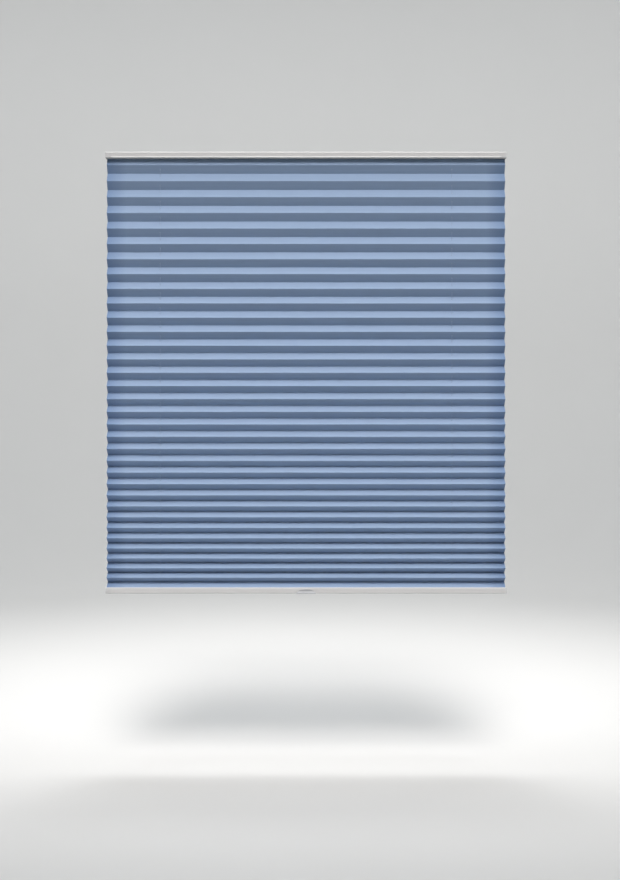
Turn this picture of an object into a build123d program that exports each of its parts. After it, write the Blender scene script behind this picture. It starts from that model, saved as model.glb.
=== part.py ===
from build123d import *
import os
from math import acos, cos, pi, radians, sin, sqrt, tan

# A free-hanging pleated blind with a spring lift in its head rail.
# Millimetres. X runs along the rails, Y points to the back, Z points up.
# The origin is on the mounting clips' top face, midway between their screw holes.

overcut = 0.1  # cutters run this far past the face that they open

# ---- Rails -----------------------------------------------------------------
blind_width = 863.0  # over the end caps
rail_depth = 24.0
rail_height = 13.0
rail_wall = 1.2
rail_corner = 1.8
channel_lip = 0.8  # lips that hold the fabric strip
channel_height = 1.2
channel_inset = 1.8  # from the rail's face to the channel's side
slot_inset = 3.6  # from the rail's face to the edge of the fabric slot
channel_floor = 1.0  # wall between the channel and the rail's inside
top_slot_inset = 4.7  # from the rail's face to the edge of the head rail's open top

# ---- End caps --------------------------------------------------------------
cap_length = 12.5
cap_end_wall = 1.6
cap_plug_length = 9.0
cap_plug_wall = 1.4
cap_fit = 0.1
cap_edge = 0.8
cap_groove_width = 1.0
cap_groove_depth = 0.4

# ---- Mounting clips --------------------------------------------------------
clip_spacing = 500.0
clip_length = 20.0
clip_sheet = 0.8
clip_bend = 0.7  # radius at the middle of the sheet
clip_side_gap = 0.4
clip_foot_reach = 1.9  # how far a foot runs under the rail's lip
clip_hole_radius = 2.1
mount_gap = 0.2  # the rail's top stays this far below the clips' top

# ---- Fabric ----------------------------------------------------------------
fabric_inset = 2.0  # from the end of a cap to the fabric's edge
fabric_thickness = 0.45
face_length = 20.0  # one face of a pleat, from fold to fold
face_count = 65  # whole faces between the first front fold and the last back fold
top_face_drop = 17.61  # height of the uppermost whole face as it hangs
face_drop_step = 0.1177  # each face below hangs this much closer
first_fold_drop = 13.4  # from the head rail's underside to the first front fold
last_face_drop = 11.2  # from the last back fold to the bottom leaf
strip_thickness = 1.0
strip_side_gap = 0.2
leaf_back_margin = 0.4  # from the fabric slot's edge to a leaf's back edge
leaf_front_margin = 1.2
leaf_gap = 0.3  # between the bottom leaf and its strip
cord_hole_radius = 1.0

# ---- Cords -----------------------------------------------------------------
cord_inset = 116.5  # from the end of a cap to a cord
cord_radius = 0.45
cord_touch = 0.05

# ---- Spring lift -----------------------------------------------------------
tray_fit = 0.1
tray_wall = 0.8
tray_floor = 0.8
cover_thickness = 0.8
cover_gap = 0.4
wheel_side_gap = 0.35
wheel_end_gap = 0.15
gear_teeth = 30
gear_addendum = 0.92  # in modules
gear_dedendum = 1.2  # in modules
gear_pressure_angle = 20.0
gear_backlash = 0.1  # taken off each tooth at the pitch circle
gear_thickness = 1.5
flange_thickness = 0.5
flange_gap = 0.3  # half the space between two neighbouring flanges
spool_core_radius = 5.0
winding_depth = 1.5  # the cord wound on a spool, from its core outwards
winding_end_gap = 0.1
core_touch = 0.02
storage_core_radius = 4.0
output_core_radius = 5.5
spring_thickness = 0.2
spring_gap = 0.1
storage_coil_depth = 0.7
output_coil_depth = 1.65
pin_radius = 1.0
bore_clearance = 0.05
press_clearance = 0.02
post_radius = 1.5
post_sunk = 0.6  # how far a post stands into the tray's side wall
screw_radius = 0.6
screw_head_radius = 1.2
screw_head_height = 0.5
screw_shank = 3.5
screw_hole_spare = 0.5  # depth left under a screw's tip
screw_slot_width = 0.3
cord_window = 2.6

# ---- Cord guides -----------------------------------------------------------
guide_length = 16.0
guide_top_gap = 1.8  # from a guide block's top to the rail's lips
guide_floor = 0.6
guide_slot_width = 3.6
guide_pin_floor_gap = 0.3
spigot_radius = 2.2
spigot_bore = 1.2
spigot_clearance = 0.05
spigot_end_gap = 0.1  # from the spigot's end to the fabric's top leaf

# ---- Bottom rail fittings --------------------------------------------------
anchor_radius = 2.2
anchor_flange_radius = 3.2
anchor_flange = 1.0
anchor_gap = 1.8  # from a cord anchor to the weight bar
anchor_bore = 0.75
weight_end_gap = 10.0  # from an end cap's plug to the weight bar
weight_width = 14.0
weight_thickness = 3.0
tab_width = 41.0
tab_height = 8.6
tab_reach = 6.0
tab_plate = 1.3
tab_lip = 1.1
tab_waist_out = 0.22  # where the scoop is deepest, as shares of reach and height
tab_waist_up = 0.28
tab_lift = 0.4
peg_radius = 1.4
peg_spacing = 20.0
peg_tail = 0.5
peg_edge = 0.05

# ---- Levels and widths that follow -----------------------------------------
rail_length = blind_width - 2 * cap_length
fabric_width = blind_width - 2 * fabric_inset
cord_x = blind_width / 2 - cord_inset
weight_length = rail_length - 2 * (cap_plug_length + weight_end_gap)
half_depth = rail_depth / 2
inner_half = half_depth - rail_wall
channel_half = half_depth - channel_inset
slot_half = half_depth - slot_inset
top_slot_half = half_depth - top_slot_inset
strip_low = channel_lip
cavity_low = channel_lip + channel_height + channel_floor
cavity_high = rail_height - rail_wall
anchor_height = cavity_high - cavity_low - weight_thickness - anchor_gap

head_bottom = -mount_gap - rail_height
head_floor = head_bottom + cavity_low
lip_under = head_bottom + cavity_high

tray_half_width = inner_half - tray_fit
tray_inner_half = tray_half_width - tray_wall
cover_top = lip_under - cover_gap
cover_bottom = cover_top - cover_thickness
wheel_low = head_floor + tray_floor + wheel_end_gap
wheel_high = cover_bottom - wheel_end_gap
gear_module = (tray_inner_half - wheel_side_gap) / (gear_teeth / 2 + gear_addendum)
pitch_radius = gear_module * gear_teeth / 2
tip_radius = pitch_radius + gear_addendum * gear_module
wheel_spacing = 2 * pitch_radius
flange_radius = pitch_radius - flange_gap
spool_x = 1.5 * wheel_spacing
drum_x = 0.5 * wheel_spacing
tray_half_length = spool_x + tip_radius + wheel_side_gap + tray_wall
post_y = tray_inner_half - post_radius + post_sunk
gear_top = wheel_low + gear_thickness
drum_low = gear_top + wheel_end_gap + flange_thickness
drum_high = wheel_high - flange_thickness
cord_level = (gear_top + drum_high) / 2
wound_radius = spool_core_radius + winding_depth
wrap_radius = wound_radius + cord_radius + cord_touch
storage_coil_radius = storage_core_radius + storage_coil_depth
output_coil_radius = output_core_radius + output_coil_depth

guide_floor_top = head_floor + guide_floor
guide_top = lip_under - guide_top_gap
pin_room = cord_level - cord_radius - cord_touch - guide_floor_top - guide_pin_floor_gap
guide_pin_radius = pin_room / 2
cord_bend = guide_pin_radius + cord_radius + cord_touch


def slab(half_width, low, high):
    """A rectangle on the rail section, even about its middle."""
    return Pos(0, (low + high) / 2) * Rectangle(2 * half_width, high - low)


def along_x(section, start, end):
    """A section in Y and Z carried along X."""
    return extrude(Plane.YZ.offset(start) * section, amount=end - start)


def disc(radius, low, high):
    """An upright cylinder between two levels."""
    return Pos(0, 0, (low + high) / 2) * Cylinder(radius, high - low)


def across_y(radius, front, back):
    """A cylinder that runs from front to back."""
    return Pos(0, (front + back) / 2, 0) * Rot(90, 0, 0) * Cylinder(radius, back - front)


def block(x_span, y_span, z_span):
    """A box between two corners, given span by span."""
    centre = [(span[0] + span[1]) / 2 for span in (x_span, y_span, z_span)]
    sizes = [span[1] - span[0] for span in (x_span, y_span, z_span)]
    return Pos(*centre) * Box(*sizes)


def ribbon(points, thickness):
    """A thin sheet's section: its middle line widened evenly, with mitred folds."""
    near, far = [], []
    for index, (y, z) in enumerate(points):
        before = points[max(index - 1, 0)]
        after = points[min(index + 1, len(points) - 1)]
        incoming = Vector(y - before[0], z - before[1]) if index else None
        outgoing = Vector(after[0] - y, after[1] - z) if index < len(points) - 1 else None
        incoming = (incoming or outgoing).normalized()
        outgoing = (outgoing or incoming).normalized()
        across = Vector(-incoming.Y - outgoing.Y, incoming.X + outgoing.X).normalized()
        share = across.X * -incoming.Y + across.Y * incoming.X
        step = across * (thickness / 2 / share)
        near.append((y + step.X, z + step.Y))
        far.append((y - step.X, z - step.Y))
    return make_face(Polyline(*near, *reversed(far), close=True))


def to_head(part):
    """Places a part made on the rail's fabric face in the head rail."""
    return Pos(0, 0, head_bottom) * part


def to_bar(part):
    """Places a part made on the rail's fabric face in the bottom rail, upside down."""
    return Pos(0, 0, bar_top) * Rot(180, 0, 0) * part


def pair(part):
    """A right-hand part with its left-hand mirror image."""
    return {"right": part, "left": mirror(part, about=Plane.YZ)}


# ---- Fabric shape ----------------------------------------------------------
def fold_line():
    """The fabric's middle line from the top leaf, down the pleats, to the bottom leaf."""
    z = head_bottom - first_fold_drop
    depth = sqrt(face_length**2 - top_face_drop**2)
    y = -depth / 2
    top_leaf = head_bottom + strip_low - fabric_thickness / 2
    leaf_start = y + (top_leaf - z) * depth / top_face_drop
    points = [(slot_half - leaf_back_margin, top_leaf), (leaf_start, top_leaf), (y, z)]
    for face in range(face_count):
        drop = top_face_drop - face * face_drop_step
        turn = 1 if face % 2 == 0 else -1
        y += turn * sqrt(face_length**2 - drop**2)
        z -= drop
        points.append((y, z))
    bottom_leaf = z - last_face_drop
    points.append((-slot_half + leaf_front_margin, bottom_leaf))
    points.append((slot_half - leaf_back_margin, bottom_leaf))
    return points


folds = fold_line()
bar_top = folds[-1][1] - fabric_thickness / 2 - leaf_gap + strip_low
bar_bottom = bar_top - rail_height


def pleated_fabric():
    """One sheet folded to and fro, with a row of cord holes down each side."""
    sheet = along_x(ribbon(folds, fabric_thickness), -fabric_width / 2, fabric_width / 2)
    for side in (-1, 1):
        row = disc(cord_hole_radius, bar_bottom, head_floor)
        sheet -= Pos(side * cord_x, 0, 0) * row
    return sheet


# ---- Rails and caps --------------------------------------------------------
def rail_section(open_far_side):
    """A rail's section, with its fabric face at the sketch's zero and its body above."""
    section = Pos(0, rail_height / 2) * RectangleRounded(rail_depth, rail_height, rail_corner)
    section -= slab(slot_half, 0, channel_lip)
    section -= slab(channel_half, channel_lip, channel_lip + channel_height)
    section -= slab(inner_half, cavity_low, cavity_high)
    if open_far_side:
        section -= slab(top_slot_half, cavity_high, rail_height)
    return section


def rail(open_far_side, hole_radius):
    """An extruded rail with a hole for each cord between channel and inside."""
    bar = along_x(rail_section(open_far_side), -rail_length / 2, rail_length / 2)
    for side in (-1, 1):
        bar -= Pos(side * cord_x, 0, 0) * disc(hole_radius, channel_lip, cavity_low + overcut)
    return bar


def rail_cap():
    """The right-hand end cap: a body flush with the rail and a hollow plug inside it."""
    inner, outer = rail_length / 2, blind_width / 2
    outline = Pos(0, rail_height / 2) * RectangleRounded(rail_depth, rail_height, rail_corner)
    cap = along_x(outline, inner, outer)
    cap = fillet(cap.faces().sort_by(Axis.X)[-1].edges(), cap_edge)
    cap -= along_x(slab(slot_half, 0, channel_lip), inner, outer - cap_end_wall)
    channel = slab(channel_half, channel_lip, channel_lip + channel_height)
    cap -= along_x(channel, inner, outer - cap_end_wall)
    groove_x = inner + cap_length / 2
    for face_y in (-half_depth, half_depth):
        cap -= block(
            (groove_x - cap_groove_width / 2, groove_x + cap_groove_width / 2),
            (face_y - cap_groove_depth, face_y + cap_groove_depth),
            (0, rail_height),
        )
    plug_half = inner_half - cap_fit
    plug = slab(plug_half, cavity_low, cavity_high - cap_fit)
    plug -= slab(
        plug_half - cap_plug_wall,
        cavity_low + cap_plug_wall,
        cavity_high - cap_fit - cap_plug_wall,
    )
    return cap + along_x(plug, inner - cap_plug_length, inner)


def fabric_strip(hole_radius):
    """The flat strip in a rail's channel, to which a leaf of the fabric is glued."""
    section = slab(channel_half - strip_side_gap, strip_low, strip_low + strip_thickness)
    strip = along_x(section, -fabric_width / 2, fabric_width / 2)
    for side in (-1, 1):
        strip -= Pos(side * cord_x, 0, 0) * disc(hole_radius, 0, cavity_low)
    return strip


def mounting_clip():
    """A folded steel clip whose feet hook under the head rail's lips."""
    leg_y = top_slot_half - clip_side_gap - clip_sheet / 2
    foot_y = top_slot_half + clip_foot_reach
    plate_z = -clip_sheet / 2
    foot_z = lip_under - clip_sheet / 2
    right = [(foot_y, foot_z), (leg_y, foot_z), (leg_y, plate_z)]
    left = [(-y, z) for y, z in reversed(right)]
    bend = min(clip_bend, 0.49 * (plate_z - foot_z))
    section = trace(FilletPolyline(*right, *left, radius=bend), clip_sheet)
    clip = along_x(section, -clip_length / 2, clip_length / 2)
    clip -= disc(clip_hole_radius, -clip_sheet - overcut, overcut)
    return Pos(clip_spacing / 2, 0, 0) * clip


# ---- Spring lift -----------------------------------------------------------
def involute(angle):
    """The involute function of a pressure angle in radians."""
    return tan(angle) - angle


def gear_disc(phase):
    """A spur gear with involute teeth; phase turns it by that share of a tooth."""
    base_angle = radians(gear_pressure_angle)
    base_radius = pitch_radius * cos(base_angle)
    root_radius = pitch_radius - gear_dedendum * gear_module
    pitch_half = (pi * gear_module / 2 - gear_backlash) / (2 * pitch_radius)
    spin = 2 * pi / gear_teeth

    def half_angle(radius):
        local = acos(min(1.0, base_radius / radius))
        return pitch_half + involute(base_angle) - involute(local)

    def point(radius, angle):
        return (radius * cos(angle), radius * sin(angle))

    edges = []
    for tooth in range(gear_teeth):
        middle = (tooth + phase) * spin
        levels = (root_radius, pitch_radius, tip_radius)
        rise = [point(r, middle - half_angle(r)) for r in levels]
        fall = [point(r, middle + half_angle(r)) for r in reversed(levels)]
        valley = point(root_radius, middle + spin / 2)
        following = point(root_radius, middle + spin - half_angle(root_radius))
        edges.append(ThreePointArc(*rise))
        edges.append(ThreePointArc(rise[2], point(tip_radius, middle), fall[0]))
        edges.append(ThreePointArc(*fall))
        edges.append(ThreePointArc(fall[2], valley, following))
    return Pos(0, 0, wheel_low) * extrude(make_face(edges), amount=gear_thickness)


def axle_bore(part):
    """A wheel with its running bore cut."""
    return part - disc(pin_radius + bore_clearance, wheel_low - overcut, wheel_high + overcut)


def cord_spool(side):
    """A spool: gear, core and top flange in one moulding."""
    spool = gear_disc(0 if side < 0 else 0.5)
    spool += disc(spool_core_radius, gear_top, wheel_high)
    spool += disc(flange_radius, drum_high, wheel_high)
    return Pos(side * spool_x, 0, 0) * axle_bore(spool)


def cord_winding(side):
    """The cord wound on a spool at this height of the blind, as one ring."""
    low, high = gear_top + winding_end_gap, drum_high - winding_end_gap
    ring = disc(wound_radius, low, high) - disc(spool_core_radius + core_touch, low, high)
    return Pos(side * spool_x, 0, 0) * ring


def idler_gear():
    """The gear that turns freely under the storage drum."""
    return Pos(-drum_x, 0, 0) * axle_bore(gear_disc(0.5))


def storage_drum():
    """The drum on which the spring would rather be."""
    drum = disc(flange_radius, drum_low - flange_thickness, drum_low)
    drum += disc(storage_core_radius, drum_low, drum_high)
    drum += disc(flange_radius, drum_high, wheel_high)
    return Pos(-drum_x, 0, 0) * axle_bore(drum)


def output_drum():
    """The geared drum onto which the spring is pulled as the blind comes down."""
    drum = gear_disc(0) + disc(flange_radius, gear_top, drum_low)
    drum += disc(output_core_radius, drum_low, drum_high)
    drum += disc(flange_radius, drum_high, wheel_high)
    return Pos(drum_x, 0, 0) * axle_bore(drum)


def drive_spring():
    """The flat spring: a coil on each drum and the crossing run between them."""
    low, high = drum_low + spring_gap, drum_high - spring_gap
    storage_mid = storage_coil_radius - spring_thickness / 2
    output_mid = output_coil_radius - spring_thickness / 2
    lean = acos((storage_mid + output_mid) / wheel_spacing)
    start = (-drum_x + storage_mid * cos(lean), -storage_mid * sin(lean))
    end = (drum_x - output_mid * cos(lean), output_mid * sin(lean))
    section = ribbon([start, end], spring_thickness)
    coils = ((-drum_x, storage_coil_radius), (drum_x, output_coil_radius))
    for x, radius in coils:
        section += Pos(x, 0) * Circle(radius)
    section -= Pos(-drum_x, 0) * Circle(storage_core_radius + spring_gap)
    section -= Pos(drum_x, 0) * Circle(output_core_radius + spring_gap)
    return Pos(0, 0, low) * extrude(section, amount=high - low)


def post_places():
    """Where the four posts and cover screws stand: between neighbouring wheels."""
    return [(sx * wheel_spacing, sy * post_y) for sx in (-1, 1) for sy in (-1, 1)]


def wheel_places():
    """The four axle positions along the tray."""
    return [-spool_x, -drum_x, drum_x, spool_x]


def motor_tray():
    """The open tray that carries the axle pins, with a window at each end for a cord."""
    width = (-tray_half_width, tray_half_width)
    inside = (-tray_inner_half, tray_inner_half)
    inner_end = tray_half_length - tray_wall
    tray = block((-tray_half_length, tray_half_length), width, (head_floor, cover_bottom))
    tray -= block((-inner_end, inner_end), inside, (head_floor + tray_floor, cover_bottom))
    for x, y in post_places():
        tray += Pos(x, y, 0) * disc(post_radius, head_floor, cover_bottom)
        hole_low = cover_top - screw_head_height - screw_shank - screw_hole_spare
        tray -= Pos(x, y, 0) * disc(screw_radius + bore_clearance, hole_low, cover_bottom)
    for x in wheel_places():
        hole = disc(pin_radius + press_clearance, head_floor, head_floor + tray_floor)
        tray -= Pos(x, 0, 0) * hole
    window = (-wrap_radius - cord_window / 2, -wrap_radius + cord_window / 2)
    opening = (cord_level - cord_window / 2, cover_bottom)
    for side in (-1, 1):
        ends = sorted((side * (inner_end - overcut), side * (tray_half_length + overcut)))
        tray -= block(ends, window, opening)
    return tray


def motor_cover():
    """The flat cover, which steadies the pins' upper ends."""
    width = (-tray_half_width, tray_half_width)
    length = (-tray_half_length, tray_half_length)
    cover = block(length, width, (cover_bottom, cover_top))
    for x in wheel_places():
        cover -= Pos(x, 0, 0) * disc(pin_radius + press_clearance, cover_bottom, cover_top)
    for x, y in post_places():
        cover -= Pos(x, y, 0) * disc(screw_radius + bore_clearance, cover_bottom, cover_top)
        head = disc(screw_head_radius + bore_clearance, cover_top - screw_head_height, cover_top)
        cover -= Pos(x, y, 0) * head
    return cover


def axle_pins():
    """Four plain steel pins from the tray's underside to the cover's top."""
    pin = disc(pin_radius, head_floor, cover_top)
    return Compound([Pos(x, 0, 0) * pin for x in wheel_places()])


def cover_screws():
    """Four small cheese-head screws with a driver slot."""
    seat = cover_top - screw_head_height
    screw = disc(screw_head_radius, seat, cover_top) + disc(screw_radius, seat - screw_shank, seat)
    across = (-screw_slot_width / 2, screw_slot_width / 2)
    along = (-screw_head_radius, screw_head_radius)
    screw -= block(along, across, (cover_top - screw_head_height / 2, cover_top))
    return Compound([Pos(x, y, 0) * screw for x, y in post_places()])


# ---- Cords and their guides ------------------------------------------------
def guide_block():
    """A moulded block that turns a cord down through the rail's floor."""
    width = inner_half - cap_fit
    x_span = (cord_x - cord_bend - guide_length / 2, cord_x - cord_bend + guide_length / 2)
    body = block(x_span, (-width, width), (head_floor, guide_top))
    slot = (-guide_slot_width / 2, guide_slot_width / 2)
    body -= block(x_span, slot, (guide_floor_top, guide_top))
    pin_place = Pos(cord_x - cord_bend, 0, cord_level - cord_bend)
    body -= pin_place * across_y(guide_pin_radius + press_clearance, -width, width)
    spigot_low = head_bottom + strip_low + spigot_end_gap
    body += Pos(cord_x, 0, 0) * disc(spigot_radius, spigot_low, guide_floor_top)
    body -= Pos(cord_x, 0, 0) * disc(spigot_bore, spigot_low, guide_floor_top)
    return body


def guide_pin():
    """The polished pin over which a cord turns."""
    reach = inner_half - 2 * cap_fit
    pin = across_y(guide_pin_radius, -reach, reach)
    return Pos(cord_x - cord_bend, 0, cord_level - cord_bend) * pin


def lift_cord(side):
    """A tight cord: from its spool along the rail, over the pin and down to its anchor."""
    anchor_roof = bar_top - cavity_low
    start = Vector(side * spool_x, -wrap_radius, cord_level)
    corner = Vector(side * cord_x, 0, cord_level)
    end = Vector(side * cord_x, 0, anchor_roof - anchor_height + anchor_flange / 2)
    route = FilletPolyline(start, corner, end, radius=cord_bend)
    section = Plane(origin=start, z_dir=corner - start) * Circle(cord_radius)
    cord = sweep(section, path=route)
    volume_share = cord.volume / (pi * cord_radius**2 * route.length)
    print("lift cord length", round(route.length, 2), "volume share", round(volume_share, 5))
    print("lift cord bend radius", round(cord_bend, 3))
    return cord


def cord_anchor():
    """The flanged bead that a cord is knotted in, under the bottom rail's upper wall."""
    bead = disc(anchor_radius, cavity_low, cavity_low + anchor_height)
    bead += disc(anchor_flange_radius, cavity_low, cavity_low + anchor_flange)
    bead -= disc(anchor_bore, cavity_low, cavity_low + anchor_height)
    return Pos(cord_x, 0, 0) * bead


# ---- Bottom rail fittings --------------------------------------------------
def weight_bar():
    """The flat steel bar that lies on the bottom rail's inner floor."""
    section = slab(weight_width / 2, cavity_high - weight_thickness, cavity_high)
    return along_x(section, -weight_length / 2, weight_length / 2)


def peg_places():
    """The two places where the pull tab is pegged to the rail's front wall."""
    level = bar_bottom + rail_height / 2
    return [Pos(side * peg_spacing / 2, 0, level) for side in (-1, 1)]


def pull_tab():
    """A half-oval tab with a scooped front and a lip along its lower edge."""
    low = bar_bottom + tab_lift
    front = -half_depth
    tip = (front - tab_reach, low + tab_lip)
    top = (front - tab_plate, low + tab_height)
    scoop_depth = tab_reach - tab_plate
    waist = (front - tab_plate - tab_waist_out * scoop_depth, low + tab_waist_up * tab_height)
    outline = [
        Line((front, low), (front - tab_reach, low)),
        Line((front - tab_reach, low), tip),
        ThreePointArc(tip, waist, top),
        Line(top, (front, low + tab_height)),
        Line((front, low + tab_height), (front, low)),
    ]
    tab = along_x(make_face(outline), -tab_width / 2, tab_width / 2)
    upper_half = Pos(0, tab_height / 2) * Rectangle(tab_width, tab_height)
    oval = Ellipse(tab_width / 2, tab_height) & upper_half
    face_plane = Plane((0, front, low), x_dir=(1, 0, 0), z_dir=(0, -1, 0))
    tab = tab & extrude(face_plane * oval, amount=tab_reach)
    for place in peg_places():
        tab += place * across_y(peg_radius, front - tab_plate / 2, front + rail_wall + peg_tail)
    return tab


def bottom_rail():
    """The bottom rail with two holes for the tab's pegs."""
    bar = to_bar(rail(False, cord_hole_radius))
    for place in peg_places():
        bar -= place * across_y(peg_radius + peg_edge, -half_depth - overcut, -inner_half + overcut)
    return bar


# ---- Every piece, by name --------------------------------------------------
pieces = {
    "head_rail": to_head(rail(True, spigot_radius + spigot_clearance)),
    "bottom_rail": bottom_rail(),
    "upper_fabric_strip": to_head(fabric_strip(spigot_radius + spigot_clearance)),
    "lower_fabric_strip": to_bar(fabric_strip(cord_hole_radius)),
    "pleated_fabric": pleated_fabric(),
    "motor_tray": motor_tray(),
    "motor_cover": motor_cover(),
    "axle_pins": axle_pins(),
    "cover_screws": cover_screws(),
    "drive_spring": drive_spring(),
    "storage_drum": storage_drum(),
    "output_drum": output_drum(),
    "idler_gear": idler_gear(),
    "weight_bar": to_bar(weight_bar()),
    "pull_tab": pull_tab(),
}
paired = {
    "head_cap": pair(to_head(rail_cap())),
    "bottom_cap": pair(to_bar(rail_cap())),
    "mounting_clip": pair(mounting_clip()),
    "guide_block": pair(guide_block()),
    "guide_pin": pair(guide_pin()),
    "cord_anchor": pair(to_bar(cord_anchor())),
    "cord_spool": {"left": cord_spool(-1), "right": cord_spool(1)},
    "cord_winding": {"left": cord_winding(-1), "right": cord_winding(1)},
    "lift_cord": {"left": lift_cord(-1), "right": lift_cord(1)},
}
for kind, sides in paired.items():
    for side_name, piece in sides.items():
        pieces[f"{kind}_{side_name}"] = piece

os.makedirs("parts", exist_ok=True)
for name, piece in pieces.items():
    piece.label = name
    export_step(piece, f"parts/{name}.step")
print("pieces", len(pieces), "bar top", round(bar_top, 3), "bar bottom", round(bar_bottom, 3))
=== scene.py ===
"""Pleated blind: folded cloth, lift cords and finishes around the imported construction.

Lengths are in metres. X runs along the rails, Y to the back of the blind, Z up, and the
origin is on the mounting clips' top face, midway between their screw holes.
"""

import math

import bmesh
import bpy
import numpy as np
from bpy.props import FloatProperty, FloatVectorProperty, IntProperty, PointerProperty
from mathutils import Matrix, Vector


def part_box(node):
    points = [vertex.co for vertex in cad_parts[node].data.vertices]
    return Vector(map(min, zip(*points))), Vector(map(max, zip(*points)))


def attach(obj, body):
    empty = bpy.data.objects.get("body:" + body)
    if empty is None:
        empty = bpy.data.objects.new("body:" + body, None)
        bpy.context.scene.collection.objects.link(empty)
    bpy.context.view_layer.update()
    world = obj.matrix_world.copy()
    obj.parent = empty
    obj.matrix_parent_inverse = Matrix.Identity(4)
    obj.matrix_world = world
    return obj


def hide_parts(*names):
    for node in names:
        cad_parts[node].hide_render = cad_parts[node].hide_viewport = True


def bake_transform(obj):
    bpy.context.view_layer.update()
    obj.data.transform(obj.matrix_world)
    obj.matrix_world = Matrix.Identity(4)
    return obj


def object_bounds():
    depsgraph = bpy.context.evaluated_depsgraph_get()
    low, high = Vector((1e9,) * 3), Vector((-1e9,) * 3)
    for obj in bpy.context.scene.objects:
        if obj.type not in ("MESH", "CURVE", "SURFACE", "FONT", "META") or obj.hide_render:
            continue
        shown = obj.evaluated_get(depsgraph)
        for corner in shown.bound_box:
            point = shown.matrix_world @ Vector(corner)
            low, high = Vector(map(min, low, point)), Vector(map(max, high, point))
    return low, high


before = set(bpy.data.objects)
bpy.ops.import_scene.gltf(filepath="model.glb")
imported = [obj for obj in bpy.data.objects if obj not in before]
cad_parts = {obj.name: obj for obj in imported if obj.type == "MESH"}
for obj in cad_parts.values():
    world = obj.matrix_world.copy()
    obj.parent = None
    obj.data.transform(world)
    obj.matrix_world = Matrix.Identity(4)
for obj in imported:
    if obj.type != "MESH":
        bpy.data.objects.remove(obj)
cad_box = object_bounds()

bl_info = {
    "name": "Pleated Blind",
    "version": (1, 0, 0),
    "blender": (4, 5, 0),
    "location": "View3D > Sidebar > Blind",
    "description": "Folds the cloth, runs the cords and finishes every piece of a pleated blind",
    "category": "Object",
}

MM = 0.001
SIDES = {"left": -1, "right": 1}
COAT_RELIEF = 0.03 * MM
FLARE_SLOPE = 0.3  # how far a flare leans out for each unit of height
CREASE_POINTS = 5  # along the curve of each crease
CREASE_SHARE = 0.04  # half a crease, as a share of one face
HOLE_RING = np.array([-1.0, -0.5, 0.5, 1.0])  # grid lines about a hole, in hole radii
WALL_LIGHTS = 6


# ---- Places read from the frame ---------------------------------------------
def low(node):
    """A node's lowest corner as an array."""
    return np.array(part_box(node)[0])


def high(node):
    """A node's highest corner as an array."""
    return np.array(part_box(node)[1])


# ---- Sizes and colours that a user would change -----------------------------
def length(name, description, millimetres):
    """A length property with its default given in millimetres."""
    return FloatProperty(
        name=name,
        description=description,
        default=millimetres * MM,
        precision=6,
        unit="LENGTH",
    )


def colour(name, description, red, green, blue):
    """A linear colour property."""
    return FloatVectorProperty(
        name=name,
        description=description,
        subtype="COLOR",
        size=3,
        min=0.0,
        max=1.0,
        default=(red, green, blue),
    )


def angle(name, description, degrees):
    """An angle property with its default given in degrees."""
    return FloatProperty(
        name=name, description=description, default=math.radians(degrees), subtype="ANGLE"
    )


def power(name, description, watts):
    """A property for the watts of a light."""
    return FloatProperty(name=name, description=description, default=watts, min=0.0, unit="POWER")


class ClothSettings(bpy.types.PropertyGroup):
    """How the cloth is folded, woven and dyed."""

    face_count: IntProperty(
        name="Faces", description="Whole faces between the outermost folds", default=65, min=3
    )
    face_length: length("Face", "One face of a pleat, from fold to fold", 20.0)
    top_drop: length("Top drop", "Height of the uppermost whole face as it hangs", 17.61)
    drop_step: length("Drop step", "Each face below hangs this much closer", 0.1177)
    first_drop: length("First drop", "From the head rail to the first front fold", 13.4)
    last_drop: length("Last drop", "From the last back fold to the bottom leaf", 11.2)
    leaf_level: length("Leaf level", "From a rail's face to the middle of the leaf in it", 0.575)
    leaf_gap: length("Leaf gap", "From the bottom rail's face to the leaf above it", 0.275)
    leaf_back: length("Leaf back edge", "How far a leaf reaches behind the middle", 8.0)
    leaf_front: length("Leaf front fold", "How far the bottom leaf reaches in front", 7.2)
    thickness: length("Thickness", "The pressed cloth", 0.32)
    fold_reach: length("Fold reach", "How far a crease's curve runs into each face", 0.75)
    hole_radius: length("Cord hole", "Radius of the punched holes for a cord", 0.7)
    wave: length("Wave", "How far the folds wander from straight", 0.05)
    thread: length("Thread", "From one thread of the weave to the next", 0.42)
    dye: colour("Dye", "The cloth's colour", 0.266, 0.358, 0.518)
    slub: colour("Slub", "The colour of its thicker threads", 0.303, 0.403, 0.575)
    # Painted shade: the cloth's colour is made darker and bluer towards its two side edges, over the
    # edge width below.
    edge_shade: colour("Deep", "The colour at the two cut side edges", 0.174, 0.260, 0.427)
    edge_width: length("Edge width", "How far in from a side edge the colour is deeper", 42.0)
    seed: IntProperty(name="Seed", description="Starts the folds' wandering", default=7)


class CordSettings(bpy.types.PropertyGroup):
    """The braided lift cords."""

    diameter: length("Diameter", "The braided cord", 0.9)
    bend: length("Bend", "Radius of the cord's middle over its guide pin", 2.15)
    lay: length("Braid lay", "One turn of a strand round the cord", 2.6)
    turns: FloatProperty(
        name="Turns", description="Turns wound on each spool", default=7.5, min=1.0
    )
    dye: colour("Dye", "The cord's colour", 0.330, 0.420, 0.590)


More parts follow.
